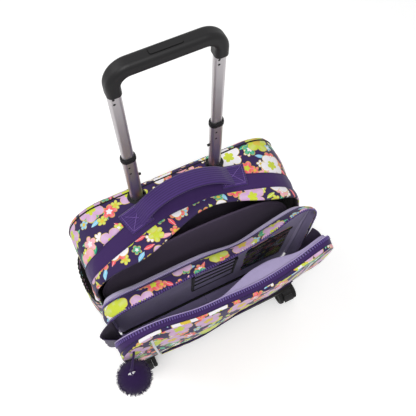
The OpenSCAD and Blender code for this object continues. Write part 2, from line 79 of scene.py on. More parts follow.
HINGE = Vector(JOINT["main_lean"]["pos_m"])
WALL_LEAN = -math.radians(JOINT["main_lean"]["range_deg"][0])
POCKET_LEAN = WALL_LEAN - math.radians(JOINT["pocket_lean"]["range_deg"][0])
WALL_H = 316 * MM
WALL_REAR = 55 * MM
WALL_FRONT = 20.3 * MM
POCKET_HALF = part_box("pocket_panel")[1].x
POCKET_H = 311.3 * MM
POCKET_REAR = 20 * MM
DROP = 3.7 * MM
BULGE = 22 * MM
BULGE_R = ((POCKET_H / 2) ** 2 + BULGE ** 2) / (2 * BULGE)


def mm(*values):
    """Millimetres as metres."""
    return [v * MM for v in values]


# ---------- materials ----------

FULL_TURN = 6.283
WAVE_PERIOD = 0.314     # metres from band to band in a wave texture of scale 1
FIBRE_SCALE = 420.0     # of the finest noise on cloth
THREADS = 900           # a metre
NET_HOLES = 620         # a metre
PETALS = 5


def rgb(r, g, b):
    """Linear colour from 0-255 screen values."""
    def one(c):
        c /= 255
        return c / 12.92 if c <= 0.04045 else ((c + 0.055) / 1.055) ** 2.4
    return (one(r), one(g), one(b), 1.0)


PURPLE = rgb(53, 30, 84)
GROUND = rgb(44, 24, 76)
LAVENDER = rgb(204, 194, 226)
LILAC = rgb(214, 170, 212)
PINK = rgb(246, 172, 186)
CORAL = rgb(243, 92, 100)
LIME = rgb(206, 218, 62)
GREEN = rgb(12, 170, 122)
SKY = rgb(140, 208, 238)
WHITE = rgb(244, 240, 244)
GOLD = rgb(226, 196, 72)
BLACK = rgb(20, 18, 22)
LINING = rgb(160, 149, 184)
# Darker copy of the lining colour: painted shade for the lining inside the main compartment
LINING_IN_SHADE = rgb(84, 72, 94)


class Tree:
    """Short hand for a node tree."""

    def __init__(self, tree):
        self.tree = tree

    def node(self, kind, **settings):
        made = self.tree.nodes.new(kind)
        for key, value in settings.items():
            setattr(made, key, value)
        return made

    def put(self, socket, value):
        if isinstance(value, bpy.types.NodeSocket):
            self.tree.links.new(value, socket)
        else:
            socket.default_value = value

    def math(self, op, a, b=0.0, c=0.0, clamp=False):
        made = self.node("ShaderNodeMath", operation=op, use_clamp=clamp)
        for socket, value in zip(made.inputs, (a, b, c)):
            self.put(socket, value)
        return made.outputs[0]

    def times(self, a, b):
        return self.math("MULTIPLY", a, b)

    def vector(self, op, a, b=(0, 0, 0)):
        made = self.node("ShaderNodeVectorMath", operation=op)
        self.put(made.inputs[0], a)
        self.put(made.inputs[1], b)
        return made.outputs["Value" if op in ("LENGTH", "DOT_PRODUCT") else "Vector"]

    def mix(self, amount, a, b):
        made = self.node("ShaderNodeMix", data_type="RGBA")
        self.put(made.inputs["Factor"], amount)
        self.put(made.inputs["A"], a)
        self.put(made.inputs["B"], b)
        return made.outputs["Result"]

    def noise(self, at, scale, detail=2.0):
        made = self.node("ShaderNodeTexNoise")
        self.put(made.inputs["Vector"], at)
        made.inputs["Scale"].default_value = scale
        made.inputs["Detail"].default_value = detail
        return made.outputs[0]

    def wave(self, at, scale, direction):
        made = self.node("ShaderNodeTexWave", bands_direction=direction)
        self.put(made.inputs["Vector"], at)
        made.inputs["Scale"].default_value = scale
        return made.outputs[1]

    def step(self, value, edge, width):
        """1 where value is under edge, with a soft rim of that width."""
        return self.math("MULTIPLY", self.math("SUBTRACT", edge, value), 1 / width, clamp=True)

    def place(self):
        return self.node("ShaderNodeTexCoord").outputs["Object"]

    def cloth_place(self):
        return self.node("ShaderNodeUVMap", uv_map="cloth").outputs[0]

    def seen_directly(self):
        """1 for camera and glossy rays, so that metal shows the same white as the background."""
        rays = self.node("ShaderNodeLightPath").outputs
        return self.math("MAXIMUM", rays["Is Camera Ray"], rays["Is Glossy Ray"])


class Nodes(Tree):
    """The node tree of a new material."""

    def __init__(self, name, rough, metallic=0.0, sheen=0.0, spec=0.5):
        self.material = bpy.data.materials.new(name)
        self.material.use_nodes = True
        super().__init__(self.material.node_tree)
        self.shader = self.tree.nodes["Principled BSDF"]
        self.shader.inputs["Roughness"].default_value = rough
        self.shader.inputs["Metallic"].default_value = metallic
        self.shader.inputs["Specular IOR Level"].default_value = spec
        self.shader.inputs["Sheen Weight"].default_value = sheen

    def bump(self, height, strength, distance):
        made = self.node("ShaderNodeBump")
        made.inputs["Strength"].default_value = strength
        made.inputs["Distance"].default_value = distance
        self.put(made.inputs["Height"], height)
        self.put(self.shader.inputs["Normal"], made.outputs[0])

    def colour(self, value):
        self.put(self.shader.inputs["Base Color"], value)
        return self.material


def shade(colour, factor):
    return tuple(c * factor for c in colour[:3]) + (1.0,)


def weave_height(t, at, threads):
    """Height of a plain weave with that many threads a metre."""
    across = t.wave(at, threads / FULL_TURN, "X")
    along = t.wave(at, threads / FULL_TURN, "Y")
    return t.times(across, along)


def cloth_material(name, colour, rough=0.8, sheen=0.15, threads=THREADS, contrast=0.16):
    t = Nodes(name, rough, sheen=sheen, spec=0.25)
    at = t.cloth_place()
    worn = t.noise(at, 18.0, 4.0)
    fine = t.noise(at, FIBRE_SCALE)
    base = t.mix(worn, shade(colour, 1 - contrast), shade(colour, 1 + contrast))
    base = t.mix(t.times(fine, 0.25), base, shade(colour, 1.35))
    t.bump(t.math("ADD", weave_height(t, at, threads), t.times(fine, 0.6)), 0.35, 0.0004)
    return t.colour(base)


def ribbed_material(name, colour, pitch=4.2 * MM):
    """Webbing: raised ribs that run along the strip, with painted shade in their grooves and painted
    highlights on their crests.
    """
    t = Nodes(name, 0.75, sheen=0.2, spec=0.3)
    at = t.cloth_place()
    ribs = t.wave(at, WAVE_PERIOD / pitch, "Y")
    # Painted shade in the grooves and painted highlights on the crests, following the ribs' height
    base = t.mix(ribs, shade(colour, 0.55), shade(colour, 1.2))
    base = t.mix(t.times(t.noise(at, 300.0), 0.3), base, shade(colour, 1.3))
    t.bump(t.math("ADD", ribs, t.times(weave_height(t, at, 1200), 0.4)), 0.6, 0.0006)
    return t.colour(base)


def motif(t, at, cell, turn, spread):
    """Cells of a scattered pattern: the offset from the cell's centre, its angle, and two random numbers."""
    rotate = t.node("ShaderNodeVectorRotate", rotation_type="Z_AXIS")
    t.put(rotate.inputs["Vector"], at)
    rotate.inputs["Angle"].default_value = turn
    scaled = t.vector("MULTIPLY", rotate.outputs[0], (1 / cell, 1 / cell, 0))
    cells = t.node("ShaderNodeTexVoronoi", voronoi_dimensions="2D")
    t.put(cells.inputs["Vector"], scaled)
    cells.inputs["Scale"].default_value = 1.0
    cells.inputs["Randomness"].default_value = spread
    offset = t.vector("SUBTRACT", scaled, cells.outputs["Position"])
    chance = t.node("ShaderNodeSeparateColor")
    t.put(chance.inputs[0], cells.outputs["Color"])
    parts = t.node("ShaderNodeSeparateXYZ")
    t.put(parts.inputs[0], offset)
    angle = t.math("ARCTAN2", parts.outputs[1], parts.outputs[0])
    angle = t.math("MULTIPLY_ADD", chance.outputs[1], FULL_TURN, angle)
    radius = t.times(t.vector("LENGTH", offset), cell)
    return radius, angle, chance.outputs[0], chance.outputs[2]


def palette(t, chance, *colours):
    ramp = t.node("ShaderNodeValToRGB")
    ramp.color_ramp.interpolation = "CONSTANT"
    points = ramp.color_ramp.elements
    points[0].color = colours[0]
    points[0].position = 0.0
    points[1].color = colours[-1]
    points[1].position = 1 - 1 / len(colours)
    for i, colour in enumerate(colours[1:-1], 1):
        points.new(i / len(colours)).color = colour
    t.put(ramp.inputs[0], chance)
    return ramp.outputs[0]


def bloom(t, below, at, cell, turn, size, colours, hearts, depth, spread):
    """Scattered flowers with round petals, drawn over the colour below. depth is how far the petals part."""
    rim = 0.7 * MM
    radius, angle, chance, other = motif(t, at, cell, turn, spread)
    lobe = t.math("ABSOLUTE", t.math("COSINE", t.times(angle, PETALS / 2)))
    lobe = t.math("POWER", lobe, 0.55)
    edge = t.times(t.math("MULTIPLY_ADD", lobe, depth, 1 - depth), size)
    petal = palette(t, chance, *colours)
    vein = t.math("POWER", lobe, 8.0)
    petal = t.mix(t.times(vein, 0.18), petal, WHITE)
    result = t.mix(t.step(radius, edge, rim), below, GOLD)
    result = t.mix(t.step(radius, t.math("SUBTRACT", edge, 0.9 * MM), rim), result, petal)
    star = t.times(t.math("MULTIPLY_ADD", lobe, 0.5, 0.5), size * 0.42)
    result = t.mix(t.step(radius, star, rim), result, palette(t, other, *hearts))
    return result


def leaves(t, below, at, cell, turn, length, width, colours, spread=0.5):
    """Scattered pointed leaves with a pale midrib."""
    radius, angle, chance, other = motif(t, at, cell, turn, spread)
    along = t.times(radius, t.math("COSINE", angle))
    across = t.math("ABSOLUTE", t.times(radius, t.math("SINE", angle)))
    share = t.math("DIVIDE", along, length)
    edge = t.times(t.math("SUBTRACT", 1.0, t.times(share, share)), width)
    result = t.mix(t.step(across, edge, 0.6 * MM), below, palette(t, chance, *colours))
    rib = t.times(t.step(across, 0.5 * MM, 0.4 * MM), t.step(across, edge, 0.5 * MM))
    return t.mix(t.times(rib, 0.8), result, WHITE)


def print_material(name):
    t = Nodes(name, 0.72, sheen=0.12, spec=0.3)
    at = t.cloth_place()
    wobble = t.node("ShaderNodeTexNoise")
    t.put(wobble.inputs["Vector"], at)
    wobble.inputs["Scale"].default_value = 60.0
    shift = t.vector("SUBTRACT", wobble.outputs["Color"], (0.5, 0.5, 0.5))
    bent = t.vector("ADD", at, t.vector("MULTIPLY", shift, (0.005, 0.005, 0)))
    base = t.mix(t.noise(at, 20.0, 3.0), shade(GROUND, 0.9), shade(GROUND, 1.15))
    base = leaves(t, base, bent, 28 * MM, 0.4, 10 * MM, 3.8 * MM, (GREEN, CORAL, PINK, SKY, LIME))
    for cell, turn, size, colours, hearts, depth, spread in (
        (30, 2.1, 9, (WHITE, CORAL, GREEN, SKY, LIME), (GOLD, WHITE), 0.6, 0.5),
        (44, 1.1, 14, (CORAL, LIME, PINK, GREEN, CORAL), (WHITE, LIME), 0.5, 0.45),
        (59, 0.2, 24, (LILAC, PINK, LILAC, WHITE, LIME), (LIME, GOLD, LIME), 0.42, 0.3),
    ):
        base = bloom(t, base, bent, cell * MM, turn, size * MM, colours, hearts, depth, spread)
    fine = t.noise(at, FIBRE_SCALE)
    base = t.mix(t.times(fine, 0.16), base, BLACK)
    t.bump(t.math("ADD", weave_height(t, at, THREADS), t.times(fine, 0.5)), 0.3, 0.0004)
    return t.colour(base)


def plastic_material(name, colour, rough, grain=900.0):
    t = Nodes(name, rough, spec=0.3)
    at = t.place()
    scuffs = t.noise(at, 60.0, 4.0)
    base = t.mix(scuffs, shade(colour, 0.85), shade(colour, 1.2))
    t.bump(t.noise(at, grain, 3.0), 0.12, 0.0003)
    return t.colour(base)


def metal_material(name, colour, rough, brushed=True):
    t = Nodes(name, rough, metallic=1.0)
    at = t.place()
    stretched = t.vector("MULTIPLY", at, (900, 900, 6) if brushed else (80, 80, 80))
    streaks = t.noise(stretched, 1.0, 3.0)
    base = t.mix(streaks, shade(colour, 0.93), shade(colour, 1.03))
    t.bump(streaks, 0.06, 0.0002)
    return t.colour(base)


def mesh_material(name):
    """Open net: holes are see-through."""
    t = Nodes(name, 0.7, spec=0.3)
    at = t.cloth_place()
    holes = t.node("ShaderNodeTexVoronoi", voronoi_dimensions="2D")
    t.put(holes.inputs["Vector"], t.vector("MULTIPLY", at, (NET_HOLES, NET_HOLES, 0)))
    holes.inputs["Scale"].default_value = 1.0
    holes.inputs["Randomness"].default_value = 0.1
    t.put(t.shader.inputs["Alpha"], t.math("SUBTRACT", 1.0, t.step(holes.outputs["Distance"], 0.5, 0.08)))
    return t.colour(t.mix(t.noise(at, 200.0), BLACK, shade(BLACK, 1.6)))


PRINT = print_material("print_cloth")
PLAIN = cloth_material("plain_cloth", PURPLE)
# Shaded copy of the lining cloth: painted shade on the divider, the organiser wall's back, the fans' insides
# and the frame sheet
SHADED_LINING = cloth_material("shaded_lining_cloth", LINING_IN_SHADE, sheen=0.05)
LINED = cloth_material("lining_cloth", LINING)
PALE = cloth_material("lavender_cloth", LAVENDER, contrast=0.07)
TRIM = cloth_material("black_cloth", BLACK, sheen=0.1)
TAPE = cloth_material("zip_tape", rgb(40, 22, 66), threads=1500)
COIL = plastic_material("zip_coil", rgb(92, 72, 136), 0.36)
THREAD = cloth_material("thread", rgb(116, 88, 158))
WEBBING = ribbed_material("webbing", rgb(62, 37, 102))
PIPING = cloth_material("piping_cloth", rgb(176, 160, 204), contrast=0.06)
SILVER = plastic_material("silver_tape", rgb(205, 204, 210), 0.4)
MOULDED = plastic_material("moulded_black", rgb(15, 14, 16), 0.55)
GRIP = plastic_material("grip_black", rgb(13, 12, 14), 0.48, 1400.0)
RUBBER = plastic_material("wheel_rubber", rgb(13, 12, 13), 0.6)
ALUMINIUM = metal_material("tube_metal", rgb(190, 186, 188), 0.36)
CHROME = metal_material("bright_metal", rgb(214, 214, 218), 0.16, brushed=False)
STEEL = metal_material("screw_steel", rgb(120, 120, 124), 0.4, brushed=False)
NET = mesh_material("net")
FUR = cloth_material("fur", rgb(38, 20, 62), rough=0.95, sheen=0.1)


# ---------- building pieces ----------

def make_piece(name, points, faces, materials, body, uvs=None, indices=None, slot="", replaces=(),
               smooth=True):
    """Piece with a 'cloth' UV map in metres, one UV a vertex, and a material index a face."""
    mesh = bpy.data.meshes.new(name)
    mesh.from_pydata([tuple(p) for p in points], [], faces)
    if uvs is None:
        uvs = [(p[0] + p[1], p[2]) for p in points]
    layer = mesh.uv_layers.new(name="cloth")
    corner = np.empty(len(mesh.loops), np.int64)
    mesh.loops.foreach_get("vertex_index", corner)
    layer.data.foreach_set("uv", np.asarray(uvs, np.float32)[corner].ravel())
    if indices is not None:
        mesh.polygons.foreach_set("material_index", indices)
    mesh.update()
    obj = bpy.data.objects.new(name, mesh)
    bpy.context.scene.collection.objects.link(obj)
    for m in materials:
        mesh.materials.append(m)
    mesh.polygons.foreach_set("use_smooth", [smooth] * len(mesh.polygons))
    if body:
        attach(obj, body)
    if replaces:
        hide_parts(*replaces)
    return obj


def grid(*parts):
    """Points, from arrays of their coordinates."""
    return np.stack(np.broadcast_arrays(*parts), -1)


def slab(name, outer, inner, uv, materials, body, closed=False, skip=None, **options):
    """Sheet with a thickness: outer and inner are grids of points, with the second material inside.

    skip marks the cells that are cut out of it."""
    nu, nv = outer.shape[:2]
    points = np.concatenate([outer.reshape(-1, 3), inner.reshape(-1, 3)])
    uvs = np.concatenate([uv.reshape(-1, 2)] * 2)
    count = nu * nv
    faces, indices = [], []
    last = nu if closed else nu - 1
    inside = 1 if len(materials) > 1 else 0
    for i in range(last):
        k = (i + 1) % nu
        for j in range(nv - 1):
            a, b, c, d = i * nv + j, k * nv + j, k * nv + j + 1, i * nv + j + 1
            if skip is not None and skip[i, j]:
                for p, q, ni, nj in ((a, b, i, j - 1), (b, c, i + 1, j), (c, d, i, j + 1), (d, a, i - 1, j)):
                    if not skip[ni, nj]:
                        faces.append((p, q, count + q, count + p))
                        indices.append(0)
                continue
            faces.append((a, b, c, d))
            indices.append(0)
            faces.append((count + d, count + c, count + b, count + a))
            indices.append(inside)
        for j in (0, nv - 1):
            a, b = i * nv + j, k * nv + j
            faces.append((b, a, count + a, count + b) if j == 0 else (a, b, count + b, count + a))
            indices.append(0)
    if not closed:
        for i in (0, nu - 1):
            for j in range(nv - 1):
                a, b = i * nv + j, i * nv + j + 1
                faces.append((a, b, count + b, count + a) if i == 0 else (b, a, count + a, count + b))
                indices.append(0)
    return make_piece(name, points, faces, materials, body, uvs, indices, **options)


def tube(name, path, radius, materials, body, sides=8, closed=False, **options):
    """Round bead along a path of points."""
    path = np.asarray(path, float)
    n = len(path)
    tangent = np.gradient(path, axis=0)
    if closed:
        tangent = np.roll(path, -1, 0) - np.roll(path, 1, 0)
    tangent /= np.linalg.norm(tangent, axis=1)[:, None]
    side = np.cross(tangent, [0.0, 1.0, 0.13])
    side /= np.linalg.norm(side, axis=1)[:, None]
    up = np.cross(side, tangent)
    angles = np.arange(sides) * 2 * math.pi / sides
    points = (path[:, None] + radius * (np.cos(angles)[None, :, None] * side[:, None]
                                        + np.sin(angles)[None, :, None] * up[:, None]))
    faces = []
    for i in range(n if closed else n - 1):
        k = (i + 1) % n
        for j in range(sides):
            m = (j + 1) % sides
            faces.append((i * sides + j, i * sides + m, k * sides + m, k * sides + j))
    if not closed:
        faces.append(tuple(range(sides)))
        faces.append(tuple((n - 1) * sides + j for j in reversed(range(sides))))
    length = np.concatenate([[0], np.cumsum(np.linalg.norm(np.diff(path, axis=0), axis=1))])
    uvs = [(length[i], j * radius) for i in range(n) for j in range(sides)]
    make_piece(name, points.reshape(-1, 3), faces, materials, body, uvs, **options)


class Ring:
    """Rounded outline seen from the front. s is 0 at the middle of its top and grows to the right, metres."""

    def __init__(self, half_w, z0, z1, top_r, foot_r):
        self.half_w, self.z0, self.z1, self.top_r, self.foot_r = half_w, z0, z1, top_r, foot_r
        self.a = half_w - top_r
        self.b = self.a + top_r * math.pi / 2
        self.c = self.b + z1 - z0 - top_r - foot_r
        self.d = self.c + foot_r * math.pi / 2
        self.e = self.d + half_w - foot_r

    def at(self, s):
        t = np.abs(s)
        top = np.clip((t - self.a) / self.top_r, 0, math.pi / 2)
        foot = np.clip((t - self.c) / self.foot_r, 0, math.pi / 2)
        x = np.where(t <= self.c, np.minimum(t, self.a) + self.top_r * np.sin(top),
                     self.half_w - self.foot_r + self.foot_r * np.cos(foot))
        x = x - np.clip(t - self.d, 0, None)
        upper = self.z1 - self.top_r + self.top_r * np.cos(top) - np.clip(t - self.b, 0, None)
        z = np.where(t <= self.c, upper, self.z0 + self.foot_r - self.foot_r * np.sin(foot))
        nx = np.where(t <= self.c, np.sin(top), np.cos(foot))
        nz = np.where(t <= self.c, np.cos(top), -np.sin(foot))
        sign = np.sign(s)
        return x * sign, z, nx * sign, nz


def ramp(value, low, high):
    t = np.clip((value - low) / (high - low), 0, 1)
    return t * t * (3 - 2 * t)


def crumple(points, scale, seed):
    """Soft folds from -1 to 1 at each point."""
    flat = np.asarray(points, float).reshape(-1, 3) * scale + seed * 7.3
    values = [noise.fractal(Vector(p), 1.0, 2.0, 3) for p in flat]
    return np.array(values).reshape(np.asarray(points).shape[:-1])


def at_lean(y, z, angle):
    c, s = math.cos(angle), math.sin(angle)
    return HINGE.y + y * c - z * s, HINGE.z + y * s + z * c


def leaning(points, angle):
    """Local points of a front section, taken from the hinge line to their place at rest."""
    y, z = at_lean(points[..., 1], points[..., 2], angle)
    return grid(points[..., 0] + HINGE.x, y, z)


# ---------- main shell ----------

# How far the cloth hangs, sinks or leans at most
MOUTH_DIP, TUCK, DROOP, DIVIDER_LEAN = mm(37, 8, 4, 14)
shell = Ring(HALF_W, SHELL_BASE, SHELL_TOP, CORNER_R, FOOT_R)
S_SHELL = np.linspace(-shell.d, shell.d, 281)


def seam(middle, more):
    """Depth of a seam from the back, which is that much more at the sides, both in mm."""
    return lambda s: (middle + more * ramp(np.abs(s), 20 * MM, 190 * MM)) * MM


seam_rear, seam_front = seam(38, 46), seam(76, 34)


def mouth(s):
    """Depth of the open edge, which dips back right of the middle."""
    return MAIN_D - MOUTH_DIP * ramp(s, -122 * MM, 26 * MM) * (1 - ramp(s, 30 * MM, 160 * MM))


def tuck(x, z, from_back):
    """How far the shell's cloth sinks in at its right front corner."""
    forward = ramp(from_back, 20 * MM, 125 * MM)
    return TUCK * ramp(x, 100 * MM, 190 * MM) * ramp(z, 285 * MM, 350 * MM) * forward


def shell_points(s, from_back, off):
    x, z, nx, nz = shell.at(s)
    forward = ramp(from_back, 60 * MM, 125 * MM)
    droop = DROOP * ramp(np.abs(x), 70 * MM, 180 * MM) * ramp(z, 300 * MM, 390 * MM) * forward
    return grid(x - tuck(x, z, from_back) + nx * off, BACK_Y - from_back, z - droop + nz * off)


def shell_strip(name, low, high, puff, material, replaces, slot, seed, holes=()):
    """holes gives the middle and half sizes of ovals cut out of the strip."""
    rows = np.linspace(0, 1, 13)
    s = S_SHELL[:, None] + 0 * rows[None]
    depth = low(s) + (high(s) - low(s)) * rows
    cut = np.zeros(s.shape, bool)
    for hole_s, hole_d, half_s, half_d in holes:
        ds, dd = s - hole_s, depth - hole_d
        reach = np.hypot(ds / half_s, dd / half_d)
        grow = np.where(reach < 1, 1 / np.maximum(reach, 0.05), 1)
        s, depth = hole_s + ds * grow, hole_d + dd * grow
        cut |= reach < 1
    skip = cut[:-1, :-1] & cut[1:, :-1] & cut[:-1, 1:] & cut[1:, 1:]
    folds = crumple(shell_points(s, depth, 0), 26, seed) * 1.6 * MM
    crown = np.sin(np.pi * rows) ** 0.6 * puff + folds * np.sin(np.pi * rows) ** 0.5
    outer = shell_points(s, depth, crown)
    inner = shell_points(s, depth, crown - CLOTH)
    slab(name, outer, inner, grid(s + seed, depth), [material, TRIM], "bag", skip=skip, slot=slot,
         replaces=replaces)


rim_lo, rim_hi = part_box("tube_rim_right")
rim_half = (rim_hi - rim_lo) / 2
hole_half = rim_half.x - 1.5 * MM, rim_half.y - 1.5 * MM
shell_strip("shell_rear", seam(3, 0), seam_rear, 1.8 * MM, PRINT, ["gusset_rear"], "print_cloth", 1,
            [(side * TUBE_X, BACK_Y - TUBE_Y, *hole_half) for side in (-1, 1)])
shell_strip("shell_band", seam_rear, seam_front, 1.5 * MM, PLAIN, ["gusset_band"], "plain_cloth", 2)
shell_strip("shell_front", seam_front, mouth, 2.0 * MM, PRINT, ["gusset_front"], "print_cloth", 3)

for name, edge, radius, material, lift in (
    ("piping_back", seam(9, 0), 1.3 * MM, TRIM, 1.2 * MM),
    ("seam_rear_cord", seam_rear, 0.9 * MM, PLAIN, 0.2 * MM),
    ("seam_front_cord", seam_front, 0.9 * MM, PLAIN, 0.2 * MM),
):
    tube(name, shell_points(S_SHELL, edge(S_SHELL), lift), radius, [material], "bag", slot="plain_cloth")

# Half of the main zip, sewn under the mouth's edge
rows = np.linspace(-9, -1, 4) * MM
s = S_SHELL[:, None] + 0 * rows[None]
slab("mouth_tape", shell_points(s, mouth(s) + rows, -2.8 * MM), shell_points(s, mouth(s) + rows, -3.8 * MM),
     grid(s, rows), [TAPE, TRIM], "bag", slot="zip_tape")


def filled(name, ring, off, depth_at, thickness, materials, body, place=lambda p: p, rings=26, wrinkle=0.0,
           seed=5, uv_shift=0.0, shift_at=None, **options):
    """Panel that fills an outline.

    depth_at(x, z, share) gives its local y, where share is 0 in the middle and 1 at the edge, and
    shift_at(x, z) how far each point is moved right and up."""
    s = np.linspace(-ring.e, ring.e, 221)[:-1]
    x, z, nx, nz = ring.at(s)
    x, z = x + nx * off, z + nz * off
    middle = (ring.z0 + ring.z1) / 2
    share = np.linspace(0.0, 1.0, rings)[1:]
    gx = x[:, None] * share
    gz = middle + (z[:, None] - middle) * share
    y = depth_at(gx, gz, share[None] + 0 * gx)
    y = y + crumple(grid(gx, y, gz), 22, seed) * wrinkle * (1 - share ** 6)
    right, up = shift_at(gx, gz) if shift_at else (0, 0)
    outer, inner = (place(grid(gx + right, y + t, gz + up)) for t in (0, thickness))
    return slab(name, outer, inner, grid(gx + uv_shift, gz), materials, body, closed=True, **options)


def back_face(x, z, share):
    """Flat in the middle, turning over to the piping at the edge."""
    turn = 4 * MM * np.clip((share - 0.965) / 0.035, 0, 1) ** 2
    return BACK_Y - turn + 1.0 * MM


filled("back_cover", shell, -0.4 * MM, back_face, -2.5 * MM, [PRINT, TRIM], "bag", wrinkle=1.0 * MM,
       rings=44, replaces=["back_panel"], slot="print_cloth", uv_shift=0.31, seed=11)

# Quilted divider inside the compartment
div_lo, div_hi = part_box("laptop_divider")
div_ring = Ring(div_hi.x, div_lo.z, div_hi.z, 80 * MM, 8 * MM)
div_y, div_t = (div_lo.y + div_hi.y) / 2, div_hi.y - div_lo.y


def pad(sign):
    def y(x, z, share):
        lean = DIVIDER_LEAN * ramp(z, div_lo.z + 60 * MM, div_hi.z) ** 1.5 * (1 - (x / div_hi.x) ** 2)
        return div_y + lean + sign * div_t / 2 * np.sqrt(np.clip(1 - share ** 8, 0, 1))
    return y


# The divider uses the shaded copy of the lining: painted shade inside the compartment
for name, sign, seed, replaced in (("divider_front", -1, 21, ["laptop_divider"]),
                                   ("divider_rear", 1, 22, ())):
    piece = filled(name, div_ring, 0, pad(sign), -sign * MM, [SHADED_LINING], "bag", wrinkle=1.2 * MM, slot="lining",
                   seed=seed, replaces=replaced)
edge_s = np.linspace(-div_ring.c, div_ring.c, 161)
edge_x, edge_z, _, _ = div_ring.at(edge_s)
edge_y = pad(0)(edge_x, edge_z, 0 * edge_x)
tube("divider_binding", grid(edge_x, edge_y, edge_z), 2.4 * MM, [SHADED_LINING], "bag", slot="lining")


# ---------- bottle pockets ----------

PLEATS, RUFFLES = 13, 30


def bottle_pocket(side, name):
    def sheet(reach, y, z):
        return grid(side * reach, y, z)

    lo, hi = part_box("bottle_pocket_" + name)
    out = (hi.x - HALF_W) if side > 0 else (-HALF_W - lo.x)
    u = np.linspace(0, 1, 61)[:, None]
    v = np.linspace(0, 1, 41)[None]
    # Belly: full at mid-height, drawn in by the elastic at the top
    belly = out * np.sin(np.pi * u) ** 0.38 * (0.72 + 0.28 * np.sin(np.pi * (0.15 + 0.75 * v)))
    ends = np.sin(np.pi * u)
    gather = 1.1 * MM * np.sin(u * 2 * np.pi * PLEATS + 1.5 * np.sin(9 * u)) * ramp(v, 0.72, 1.0) * ends
    y = lo.y + (hi.y - lo.y) * (1 - u)
    z = lo.z + (hi.z - lo.z) * v
    folds = crumple(sheet(HALF_W + belly, y, z), 30, 31 + side) * 1.6 * MM * ends
    belly = np.minimum(belly + gather + folds, out)
    slab("bottle_pouch_" + name, sheet(HALF_W - 0.5 * MM + belly, y, z),
         sheet(HALF_W - 1.5 * MM + np.maximum(belly - 1.2 * MM, 0), y, z), grid(y * 1.15 + 0.5, z),
         [PRINT, TRIM], "bag", replaces=["bottle_pocket_" + name], slot="print_cloth")
    # Elastic binding, ruffled along its upper edge
    elo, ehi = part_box("bottle_elastic_" + name)
    w = np.linspace(0, 1, 7)[None]
    top_belly = belly[:, -1:]
    fold = 0.9 * MM * np.sin(u * 2 * np.pi * RUFFLES) * ends * (0.4 + w)
    z = elo.z - 3 * MM + (ehi.z - elo.z + 3 * MM) * w
    slab("bottle_band_" + name, sheet(HALF_W + top_belly + 0.6 * MM * np.sin(np.pi * w) + fold, y, z),
         sheet(HALF_W - 1.8 * MM + top_belly + fold, y, z), grid(y, z), [TRIM], "bag",
         replaces=["bottle_elastic_" + name], slot="elastic")


bottle_pocket(-1, "left")
bottle_pocket(1, "right")


# ---------- grab handle ----------

HANDLE_R = 125.8 * MM
HANDLE_Z = 314.2 * MM
HANDLE_REACH = 88 * MM
STRAP_BACK, STRAP_SWAY = mm(3, 9)
handle_lo, handle_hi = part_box("grab_handle")
handle_y, handle_half = (handle_lo.y + handle_hi.y) / 2, (handle_hi.y - handle_lo.y) / 2
turn = np.linspace(-1, 1, 81)
angle = turn * math.asin(HANDLE_REACH / HANDLE_R)
arch = grid(HANDLE_R * np.sin(angle), handle_y + STRAP_SWAY * (1 - turn ** 2) - STRAP_BACK,
            HANDLE_Z + HANDLE_R * np.cos(angle) - 3.4 * MM)
out = grid(np.sin(angle), 0, np.cos(angle))
section = np.linspace(0, 2 * np.pi, 33)[:-1]
half = handle_half * (0.86 + 0.14 * np.abs(turn) ** 3)[:, None]
sy = np.sign(np.cos(section)) * np.abs(np.cos(section)) ** 0.5
so = np.sign(np.sin(section)) * np.abs(np.sin(section)) ** 0.7
thick = (3.3 - 1.6 * ramp(np.abs(turn), 0.72, 0.9))[:, None] * MM
wide = half * sy
strap = arch[:, None] + grid(0, wide, 0) + out[:, None] * (thick * so)[..., None]
n_turn, n_sec = strap.shape[:2]
faces = [(i * n_sec + j, i * n_sec + (j + 1) % n_sec, (i + 1) * n_sec + (j + 1) % n_sec, (i + 1) * n_sec + j)
         for i in range(n_turn - 1) for j in range(n_sec)]
faces += [tuple(range(n_sec)), tuple((n_turn - 1) * n_sec + j for j in reversed(range(n_sec)))]
uvs = grid((angle * HANDLE_R)[:, None], wide).reshape(-1, 2)
make_piece("handle_webbing", strap.reshape(-1, 3), faces, [WEBBING], "bag", uvs, slot="webbing",
                     replaces=["grab_handle"])


PATCH_X, PATCH_TURN = 90 * MM, 0.25
PATCH_HALF_X, PATCH_HALF_Y = mm(22, 21)
STITCHED = 0.82         # share of a patch inside its stitches


def patch(side, name):
    """Square of webbing sewn flat, with a box and cross of stitches. It is placed from -1 to 1 each way."""
    c, s = math.cos(-side * PATCH_TURN), math.sin(-side * PATCH_TURN)
    z = SHELL_TOP + 2.2 * MM

    def turned(x, y, z):
        x, y = x * PATCH_HALF_X, y * PATCH_HALF_Y
        return grid(side * PATCH_X + x * c - y * s, handle_y - STRAP_BACK + x * s + y * c, z)

    u = np.linspace(-1, 1, 13)[:, None]
    v = np.linspace(-1, 1, 13)[None]
    crown = 1.4 * MM * (1 - np.maximum(np.abs(u), np.abs(v)) ** 8)
    slab("handle_patch_" + name, turned(u, v, z + crown + 0.8 * MM), turned(u, v, z - 0.5 * MM),
         grid(u * PATCH_HALF_X, v * PATCH_HALF_Y), [WEBBING], "bag", slot="webbing",
         replaces=["handle_anchors"] if side < 0 else ())
    ends = [(-1, -1), (1, -1), (1, 1), (-1, 1), (-1, -1), (1, 1), (1, -1), (-1, 1)]
    path = np.array([(ax + (bx - ax) * k, ay + (by - ay) * k)
                     for (ax, ay), (bx, by) in zip(ends, ends[1:]) for k in np.linspace(0, 1, 9)[:-1]])
    path = turned(path[:, 0] * STITCHED, path[:, 1] * STITCHED, z + 2.2 * MM)
    tube(f"handle_patch_{name}_stitches", path, 0.45 * MM, [THREAD], "bag", sides=5, slot="webbing")


for side, name in ((-1, "left"), (1, "right")):
    patch(side, name)


# ---------- trolley ----------

